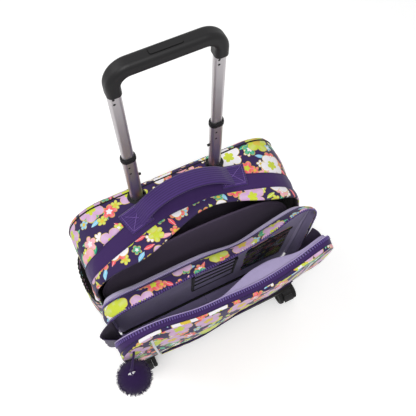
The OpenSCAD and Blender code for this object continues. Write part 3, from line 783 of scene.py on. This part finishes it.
DOT = 16                # sides of a pin's round face
for side, name in ((-1, "left"), (1, "right")):
    # Dark pins that show in the tubes' faces
    for body, node, over, levels in (("middle_stage", "middle_tube_" + name, "collar_" + name, (-14, -31)),
                                     ("upper_stage", "upper_tube_" + name, "grip_body", (-8, -17))):
        face_y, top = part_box(node)[0].y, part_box(over)[0].z
        points, faces = [], []
        for level in levels:
            base = len(points)
            for k in range(DOT):
                a = k * 2 * math.pi / DOT
                for radius, depth in ((1.9, 0.08), (1.1, 0.2)):
                    points.append((side * TUBE_X - 3 * MM + radius * MM * math.cos(a), face_y - depth * MM,
                                   top + level * MM + radius * MM * math.sin(a)))
            rim = range(base, base + 2 * DOT, 2)
            faces += [(a, b, b + 1, a + 1) for a, b in zip(rim, [*rim[1:], base])]
            faces.append(tuple(a + 1 for a in rim))
        make_piece(node + "_dimples", points, faces, [MOULDED], body, slot="black_plastic")


# ---------- organiser section ----------

wall = Ring(HALF_W, -DROP, WALL_H, CORNER_R, FOOT_R)
S_WALL = np.linspace(-wall.e, wall.e, 401)


def corner_pull(x, z, top, start=95 * MM):
    """1 at the top corner that x grows to, where the cloth between the sections pulls it back and up."""
    return ramp(x, start, start + 80 * MM) * ramp(z, top - 120 * MM, top - 20 * MM)


def wall_bow(x, y, z):
    """Sideways, forward and upward shift of the slack top.

    Its rear edge hangs low and its right corner stands up."""
    high = ramp(z, 0.3 * WALL_H, WALL_H)
    back = np.clip((y - WALL_FRONT) / (WALL_REAR - WALL_FRONT), -0.2, 1.3)
    front = np.clip(1 - back, 0, 1)
    hang = ramp(x, -195 * MM, -130 * MM) * (1 - ramp(x, 95 * MM, 175 * MM))
    dent = np.exp(-((x - 52 * MM) / (46 * MM)) ** 2) * np.clip(back, 0, 1.3)
    pull = corner_pull(x, z, WALL_H)
    left, right = ramp(-x, 30 * MM, 140 * MM) * front, ramp(x, 20 * MM, 165 * MM) * front
    return (5 * MM * pull - 5 * MM * corner_pull(-x, z, WALL_H),
            (5 * pull * front + (11 * right - 5 * dent) * high) * MM,
            (7 * x / HALF_W + 1 - 26 * back * (0.25 + 0.75 * hang) + 5 * right - 11 * left - 9 * dent) * MM
            * high + 16 * MM * pull * np.clip(1.2 - back, 0, 1))


def wall_points(s, y, off):
    x, z, nx, nz = wall.at(s)
    dx, dy, dz = wall_bow(x, y, z)
    return leaning(grid(x + dx + nx * off, y + dy, z + dz + nz * off), WALL_LEAN)


WALL = wall, S_WALL, wall_points, "front_section"


def off_floor(ring, s, lift):
    """Keeps a strip flat where it runs under the section, just above the base's tray."""
    free = ramp(ring.at(s)[1], 2 * MM, 40 * MM)
    return lift * free - 0.3 * MM * (1 - free)


def section_strip(name, section, sizes, seed, rows, look, slot, replaces=(), off=(0, 0), low=None):
    """Strip of cloth round a front section, cut off under the height low.

    sizes gives its first and last depth, its puff, its folds and its thickness in mm, and off how far its
    first edge stands out and how much further its last one does."""
    ring, steps, points_at, body = section
    y0, y1, puff, fold, thickness = mm(*sizes)
    keep = steps if low is None else steps[ring.at(steps)[1] > low]
    v = np.linspace(0, 1, rows)
    s = keep[:, None] + 0 * v[None]
    y = y0 + (y1 - y0) * v + 0 * s
    folds = crumple(points_at(s, y, 0), 28, seed) * fold * np.sin(np.pi * v) ** 0.3
    lift = off_floor(ring, s, (off[0] + off[1] * v) * MM + np.sin(np.pi * v) ** 0.6 * puff + folds)
    slab(name, points_at(s, y, lift), points_at(s, y, lift - thickness), grid(s + seed * 0.17, y), look, body,
         replaces=replaces, slot=slot)


section_strip("organiser_gusset", WALL, (47, 24, 2.2, 1.2, 2.6), 4, 9, [PRINT, LINED], "print_cloth",
              ["wall_gusset"])
section_strip("main_zip_tape", WALL, (51, 47, 0.6, 0.3, 1), 5, 5, [TAPE, PALE], "zip_tape", ["main_zip"],
              (-3.4, 3.6), 30 * MM)
section_strip("lining_collar", WALL, (62, 51, 0.5, 1, 1.4), 6, 9, [PALE], "lining", (), (-9, 4.6), 60 * MM)
section_strip("organiser_zip_tape", WALL, (25, 21, 0.5, 0.3, 1), 7, 6, [TAPE], "zip_tape", ["organiser_zip"],
              (-0.4, -1), 90 * MM)


def wall_face(x, z, share):
    return WALL_REAR - 3 * MM + wall_bow(x, WALL_REAR, z)[1] - 1.5 * MM * (1 - share ** 2)


def wall_shift(x, z):
    return wall_bow(x, WALL_REAR - 3 * MM, z)[::2]


# Its back, facing into the main compartment, uses the shaded copy of the lining: painted shade
filled("organiser_wall", wall, -2.5 * MM, wall_face, 2.4 * MM, [LINED, SHADED_LINING], "front_section",
       lambda p: leaning(p, WALL_LEAN), wrinkle=1.6 * MM, seed=41, shift_at=wall_shift, slot="lining",
       replaces=["wall_panel"])


def zip_teeth(name, section, y, off, pitch, size):
    """Row of coil teeth along a section's edge, that stops above its foot.

    All sizes are in mm. size is along, across and out."""
    ring, _, points_at, body = section
    y, off, pitch = mm(y, off, pitch)
    end = ring.c - 60 * MM
    s = np.arange(-end, end, pitch)
    here = points_at(s, y, off)
    along = points_at(s + 1 * MM, y, off) - here
    along /= np.linalg.norm(along, axis=1)[:, None]
    across = here - points_at(s, y + 1 * MM, off)
    across -= along * (across * along).sum(1)[:, None]
    across /= np.linalg.norm(across, axis=1)[:, None]
    out = np.cross(along, across)
    long, wide, high = mm(*size)
    corners = [(x, y, z) for x in (-0.5, 0.5) for y in (-0.5, 0.5) for z in (-0.5, 0.5)]
    quads = [(0, 1, 3, 2), (4, 6, 7, 5), (0, 4, 5, 1), (2, 3, 7, 6), (0, 2, 6, 4), (1, 5, 7, 3)]
    points, faces = [], []
    for i, centre in enumerate(here):
        faces += [tuple(len(points) + q for q in quad) for quad in quads]
        for x, y, z in corners:
            taper = 0.7 if z > 0 else 1.0
            points.append(centre + along[i] * x * long * taper + across[i] * y * wide + out[i] * z * high)
    make_piece(name, points, faces, [COIL], body, slot="zip_tape", smooth=False)


zip_teeth("organiser_zip_teeth", WALL, 23.2, -0.3, 4.2, (2.3, 4.2, 2))
zip_teeth("main_zip_teeth", WALL, 49.5, -1, 3, (1.5, 2.2, 1.2))

# Card panel: stepped slots, each edge bound in black
card_x0, card_x1, card_lo, card_hi = -30, 58, 96, 214
SLOTS, SLOT_DROP, SLOT_STEP = 4, 26, 0.9


def on_wall(x, z, out):
    """Point in front of the organiser wall, in the shared frame."""
    right, up = wall_shift(x, z)
    return leaning(grid(x + right, wall_face(x, z, 0.5) - out, z + up), WALL_LEAN)


def flat_sheet(name, at, body, sizes, look, slot, columns=13, rows=13, bulge=0.0, replaces=()):
    """Sheet on a section's face.

    sizes gives its left, right, bottom, top, how far it stands out, and its thickness, in mm."""
    x0, x1, z0, z1, out, thickness = mm(*sizes)
    u = np.linspace(0, 1, columns)[:, None]
    v = np.linspace(0, 1, rows)[None]
    x, z = x0 + (x1 - x0) * u + 0 * v, z0 + (z1 - z0) * v + 0 * u
    lift = out + bulge * (np.sin(np.pi * u) * np.sin(np.pi * v)) ** 0.5
    slab(name, at(x, z, lift), at(x, z, lift - thickness), grid(x, z), [look], body, slot=slot,
         replaces=replaces)


def wall_sheet(name, sizes, look=TRIM, slot="elastic", **options):
    flat_sheet(name, on_wall, "front_section", sizes, look, slot, **options)


for i in range(SLOTS):
    top, step = card_hi - i * SLOT_DROP, i * SLOT_STEP
    wall_sheet(f"card_slot_{i}", (card_x0, card_x1, card_lo, top, 1.2 + step, 1), LINED, "lining", rows=7,
               replaces=["card_panel"] if i == 0 else ())
    wall_sheet(f"card_binding_{i}", (card_x0 - 1, card_x1 + 1, top - 2.5, top + 2.5, 2.3 + step, 1.8), rows=3)
for x0, x1, name in ((card_x0 - 3, card_x0 + 2, "left"), (card_x1 - 2, card_x1 + 3, "right")):
    wall_sheet("card_side_" + name, (x0, x1, card_lo - 3, card_hi + 3, 4.4, 4.2), columns=3)
wall_sheet("card_foot", (card_x0 - 3, card_x1 + 3, card_lo - 3, card_lo + 2, 4.5, 4.2), rows=3)

net_x0, net_x1, net_lo, net_hi = 82, 174, 70, 220
wall_sheet("net_back", (net_x0, net_x1, net_lo, net_hi, 0.9, 0.8), PRINT, "print_cloth")
wall_sheet("net_pocket", (net_x0, net_x1, net_lo, net_hi, 2.4, 0.3), NET, "mesh", bulge=3 * MM,
           replaces=["mesh_pocket"])
wall_sheet("net_binding", (net_x0 - 1, net_x1 + 1, net_hi - 3, net_hi + 3, 3.6, 2), rows=3)


# ---------- front pocket ----------

pocket = Ring(POCKET_HALF, -DROP, POCKET_H, CORNER_R, FOOT_R)
S_POCKET = np.linspace(-pocket.e, pocket.e, 401)
POCKET_SEAM = 6         # mm behind the pocket's face
ZIP_END = 70 * MM       # height at which its zip stops
FLAP = 23 * MM          # of lining, at its widest


def drum(z):
    return BULGE_R - BULGE - np.sqrt(np.clip(BULGE_R ** 2 - (z - POCKET_H / 2) ** 2, 0, None))


def belly(x):
    """Share of the drum's bulge. The pocket hangs fuller on the left."""
    return 1.04 - 0.46 * ramp(x, -90 * MM, 60 * MM) - 0.2 * ramp(x, 60 * MM, 180 * MM)


def pocket_bow(x, z):
    """The open edge sags forward and down, and its corners are pulled out and back."""
    high = ramp(z, 0.25 * POCKET_H, POCKET_H)
    sag = np.exp(-((x - 45 * MM) / (95 * MM)) ** 2)
    dip = np.exp(-((x + 62 * MM) / (50 * MM)) ** 2)
    right, left = corner_pull(x, z, POCKET_H, 118 * MM), corner_pull(-x, z, POCKET_H, 110 * MM)
    return ((9 * right - 10 * left) * MM, (-(14 * sag + 6 * dip) * high + 7 * right) * MM,
            (-(3 + 13 * sag + 9 * dip) * high + 24 * right + 6 * left) * MM)


def pocket_points(s, y, off):
    """y runs from the pocket's rear edge, POCKET_REAR, to its face, 0, which follows the drum."""
    x, z, nx, nz = pocket.at(s)
    dx, dy, dz = pocket_bow(x, z)
    y = y + dy + np.clip(1 - y / POCKET_REAR, 0, 1) * drum(z) * belly(x)
    return leaning(grid(x + dx + nx * off, y, z + dz + nz * off), POCKET_LEAN)


POCKET = pocket, S_POCKET, pocket_points, "front_pocket"
section_strip("pocket_side", POCKET, (19.2, POCKET_SEAM, 1.4, 0.8, 2.6), 51, 7, [PLAIN, LINED], "plain_cloth",
              ["pocket_gusset"])
section_strip("pocket_edge", POCKET, (POCKET_SEAM, 0.2, 0.6, 0.4, 2.6), 53, 5, [PRINT, LINED], "print_cloth")
section_strip("pocket_zip_tape", POCKET, (19.2, 13, 0.4, 0.3, 0.8), 52, 6, [TAPE, PALE], "zip_tape",
              ["pocket_zip"], (0.9, 0.4), ZIP_END)
zip_teeth("pocket_zip_teeth", POCKET, 15.6, 1.9, 4.2, (2.3, 5.2, 2))
zip_s = S_POCKET[pocket.at(S_POCKET)[1] > ZIP_END]
tube("pocket_lilac_piping", pocket_points(zip_s, 18.8 * MM, 1.2 * MM), 0.9 * MM, [PIPING], "front_pocket",
     slot="lining")
seam_s = S_POCKET[:-1]
tube("pocket_seam", pocket_points(seam_s, POCKET_SEAM * MM, off_floor(pocket, seam_s, 0.4 * MM) - 0.1 * MM),
     0.7 * MM, [TAPE], "front_pocket", closed=True, slot="plain_cloth")


def lining_flap():
    """Slack lining that slopes from the zip's rear edge into the section, widest right of the middle."""
    keep = np.linspace(-30 * MM, 214 * MM, 81)
    v = np.linspace(0, 1, 9)
    s = keep[:, None] + 0 * v[None]
    x = pocket.at(s)[0]
    width = FLAP * ramp(x, -30 * MM, 60 * MM) * (1 - 0.8 * ramp(x, 75 * MM, 150 * MM))
    y = 19.4 * MM + width * v[None]
    sink = -3.4 * MM - 5 * MM * v[None] * width / FLAP
    off = sink + crumple(pocket_points(s, y, 0), 34, 57) * 2.0 * MM * np.sin(np.pi * v)
    slab("pocket_lining", pocket_points(s, y, off), pocket_points(s, y, off - 1.0 * MM), grid(s, y), [LINED],
         "front_pocket", slot="lining")


lining_flap()


def pocket_face(x, z, share):
    soft = 3.5 * MM * (1 - share ** 3)
    return (drum(z) - soft) * belly(x) + pocket_bow(x, z)[1]


def pocket_shift(x, z):
    return pocket_bow(x, z)[::2]


filled("pocket_face", pocket, -0.2 * MM, pocket_face, 2.6 * MM, [PRINT, PALE], "front_pocket",
       lambda p: leaning(p, POCKET_LEAN), 36, 2.4 * MM, 61, 0.11, pocket_shift, slot="print_cloth",
       replaces=["pocket_panel"])


def on_face(x, z, out):
    """Point in front of the pocket's face, in the shared frame."""
    share = np.maximum(np.abs(x) / POCKET_HALF, np.abs(z - POCKET_H / 2) / (POCKET_H / 2 + DROP))
    right, up = pocket_shift(x, z)
    return leaning(grid(x + right, pocket_face(x, z, share) - out, z + up), POCKET_LEAN)


def face_sheet(name, sizes, look, slot, **options):
    flat_sheet(name, on_face, "front_pocket", sizes, look, slot, **options)


strip_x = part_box("accent_strips")[1].x / MM - 3
for side, name in ((-1, "left"), (1, "right")):
    x = side * strip_x
    face_sheet("silver_strip_" + name, (x - 1.8, x + 1.8, 10, POCKET_H / MM - 12, 2.2, 2), SILVER,
               "reflective_tape", columns=5, rows=61, replaces=["accent_strips"] if side < 0 else ())
face_sheet("low_pocket", (-139, 139, 14, 178, 3.4, 2.2), PRINT, "print_cloth", columns=61, rows=41,
           bulge=2.5 * MM, replaces=["lower_pocket"])
face_sheet("low_pocket_tape", (-139, 139, 177, 180, 3.8, 2.6), TAPE, "zip_tape", columns=61, rows=3)


# ---------- gussets between the sections --------------------

BLEND_LEVEL = 0.6       # share of a gusset's height at which fan takes its two edges, which nothing uses


def fan(name, side, x0, bulge, rear, front, z0, z1, materials, seed, replaces=(), sunk=None):
    """Slack cloth from the point rear(z) to front(z) at one side, with a soft fold that hangs outwards.

    sunk(z) draws its rear edge in."""
    def sheet(reach):
        return grid(side * (x0 + reach), y, zz)

    u = np.linspace(0, 1, 17)[:, None]
    v = np.linspace(0, 1, 41)[None]
    z = z0 + (z1 - z0) * v
    a, b = rear(z), front(z)
    y = a[0] + (b[0] - a[0]) * u
    zz = a[1] + (b[1] - a[1]) * u
    out = bulge * np.sin(np.pi * u) * ramp(v, 0.0, 0.5) * (0.9 + 0.1 * np.cos(np.pi * v))
    if sunk:
        out = out - sunk(zz) * (1 - u)
    out = out + crumple(sheet(out), 40, seed) * 2 * MM * np.sin(np.pi * u)
    obj = slab(name, sheet(out), sheet(out - 1.2 * MM), grid(y, zz), materials, None, replaces=replaces,
               slot="elastic")
    z_mid = z0 + (z1 - z0) * BLEND_LEVEL
    start, end = rear(z_mid), front(z_mid)
    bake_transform(obj)


# The organiser fans' insides use the shaded copy of the lining: painted shade
for side, name in ((-1, "left"), (1, "right")):
    fan("organiser_fan_" + name, side, HALF_W - 5.5 * MM, 31 * MM if side < 0 else 8 * MM,
        lambda z: at_lean(22 * MM, z, WALL_LEAN), lambda z: at_lean(19 * MM, z, POCKET_LEAN),
        14 * MM, (276 if side < 0 else 262) * MM, [TAPE, SHADED_LINING], 71 + side,
        ["fan_gusset_" + name])
    fan("main_fan_" + name, side, HALF_W - 3.6 * MM, 2 * MM,
        lambda z: (BACK_Y - MAIN_D + 4 * MM + 0 * z, HINGE.z + z), lambda z: at_lean(54 * MM, z, WALL_LEAN),
        4 * MM, 250 * MM, [TRIM], 75 + side,
        sunk=lambda z: tuck(side * HALF_W, z, MAIN_D))


# ---------- charm ----------

pom_lo, pom_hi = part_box("charm_pompom")
pom = (pom_lo + pom_hi) / 2
pom_r = (pom_hi.x - pom_lo.x) / 2
GOLDEN_ANGLE, THIRD_TURN = 2.39996, 2.0944
HAIR = 0.55 * MM
rng = random.Random(8)
points, faces, uvs = [], [], []
STRANDS = 3800
for i in range(STRANDS):
    h = 1 - 2 * (i + 0.5) / STRANDS
    a = i * GOLDEN_ANGLE
    ring_r = math.sqrt(1 - h * h)
    way = Vector((ring_r * math.cos(a), ring_r * math.sin(a), h))
    way += Vector((rng.uniform(-1, 1), rng.uniform(-1, 1), rng.uniform(-1, 1))) * 0.22
    way.normalize()
    side = way.cross(Vector((rng.uniform(-1, 1), rng.uniform(-1, 1), rng.uniform(-1, 1)))).normalized()
    length = pom_r * rng.uniform(1.02, 1.22)
    base = len(points)
    for k, share in enumerate((0.55, 0.8, 1.0)):
        droop = Vector((0, 0, -1)) * (length * 0.10 * share ** 2)
        centre = pom + way * length * share + droop
        for j in range(3):
            turn_j = Matrix.Rotation(j * THIRD_TURN, 3, way)
            points.append(centre + (turn_j @ side) * HAIR * (1 - 0.75 * (k / 2)))
            uvs.append((i * 0.003, share * 0.02))
    for k in range(2):
        for j in range(3):
            m = (j + 1) % 3
            faces.append((base + k * 3 + j, base + k * 3 + m, base + k * 3 + 3 + m, base + k * 3 + 3 + j))
    faces.append((base + 6, base + 7, base + 8))
make_piece("pompom_fur", points, faces, [FUR], "charm", uvs, slot="plush")


# ---------- looks of the carried-over nodes ----------

# By the start of a node's name. All the others are moulded
LOOK = {
    # frame_sheet uses the shaded copy of the lining: painted shade
    "base_screws": STEEL, "bottom_panel": PLAIN, "frame_sheet": SHADED_LINING, "outer_tube": ALUMINIUM,
    "middle_tube": ALUMINIUM, "upper_tube": ALUMINIUM, "grip_body": GRIP, "grip_button": GRIP,
    "eyelet": CHROME, "charm_loop": TAPE, "charm_clasp": CHROME, "charm_pompom": FUR, "caster_wheels": RUBBER,
}
for name, node in NODE.items():
    look = next((LOOK[start] for start in LOOK if name.startswith(start)), MOULDED)
    node.data.materials.clear()
    node.data.materials.append(look)
    if not node.data.uv_layers:
        layer = node.data.uv_layers.new(name="cloth")
        corner = [node.data.vertices[loop.vertex_index].co for loop in node.data.loops]
        layer.data.foreach_set("uv", np.array([(p.x + p.y, p.z) for p in corner], np.float32).ravel())


# ---------- floor, light and camera ----------

FLOOR_GLOW, WORLD_LIGHT = 0.2, 0.52


def floor_material():
    t = Nodes("floor_paint", 0.9, spec=0.1)
    t.shader.inputs["Emission Color"].default_value = (1, 1, 1, 1)
    t.put(t.shader.inputs["Emission Strength"], t.times(t.seen_directly(), FLOOR_GLOW))
    return t.colour(t.mix(t.noise(t.place(), 3.0), rgb(252, 252, 252), rgb(254, 254, 254)))


bpy.ops.mesh.primitive_plane_add(size=14)
floor = bpy.context.object
floor.name = "floor"
floor.data.materials.append(floor_material())

world = bpy.data.worlds.new("studio")
bpy.context.scene.world = world
world.use_nodes = True
background = world.node_tree.nodes["Background"]
background.inputs["Color"].default_value = (1, 1, 1, 1)
sky = Tree(world.node_tree)
strength = sky.node("ShaderNodeMapRange")
strength.inputs["To Min"].default_value = WORLD_LIGHT
strength.inputs["To Max"].default_value = 1.0
sky.put(strength.inputs["Value"], sky.seen_directly())
sky.put(background.inputs["Strength"], strength.outputs[0])


def area_light(name, place, target, size, power):
    light = bpy.data.lights.new(name, "AREA")
    light.size = size
    light.energy = power
    obj = bpy.data.objects.new(name, light)
    obj.location = place
    obj.rotation_euler = (Vector(target) - Vector(place)).to_track_quat("-Z", "Y").to_euler()
    bpy.context.scene.collection.objects.link(obj)


area_light("key", (-1.3, 1.0, 2.2), (0, 0, 0.2), 1.4, 15)
area_light("fill", (-0.35, -0.8, 2.5), (0, 0, 0.2), 0.8, 26)

# Camera of the photo: angles in radians, place from the middle of the bag's back
YAW, PITCH, ROLL = 0.4924, 1.1225, 0.0330
CAMERA_AT = (-0.1600, BACK_Y - 0.4382, 1.2131)
LENS = 46.73
forward_flat = Vector((math.sin(YAW), math.cos(YAW), 0))
right = Vector((math.cos(YAW), -math.sin(YAW), 0))
forward = forward_flat * math.cos(PITCH) - Vector((0, 0, math.sin(PITCH)))
up = right.cross(forward)
image_right = right * math.cos(ROLL) + up * math.sin(ROLL)
image_up = -right * math.sin(ROLL) + up * math.cos(ROLL)
camera = bpy.data.objects.new("camera", bpy.data.cameras.new("camera"))
camera.data.lens = LENS
camera.data.sensor_width = 36
camera.data.clip_end = 50
turned = Matrix((image_right, image_up, -forward)).transposed().to_4x4()
camera.matrix_world = Matrix.Translation(CAMERA_AT) @ turned
bpy.context.scene.collection.objects.link(camera)
bpy.context.scene.camera = camera
bpy.context.scene.view_settings.view_transform = "Standard"
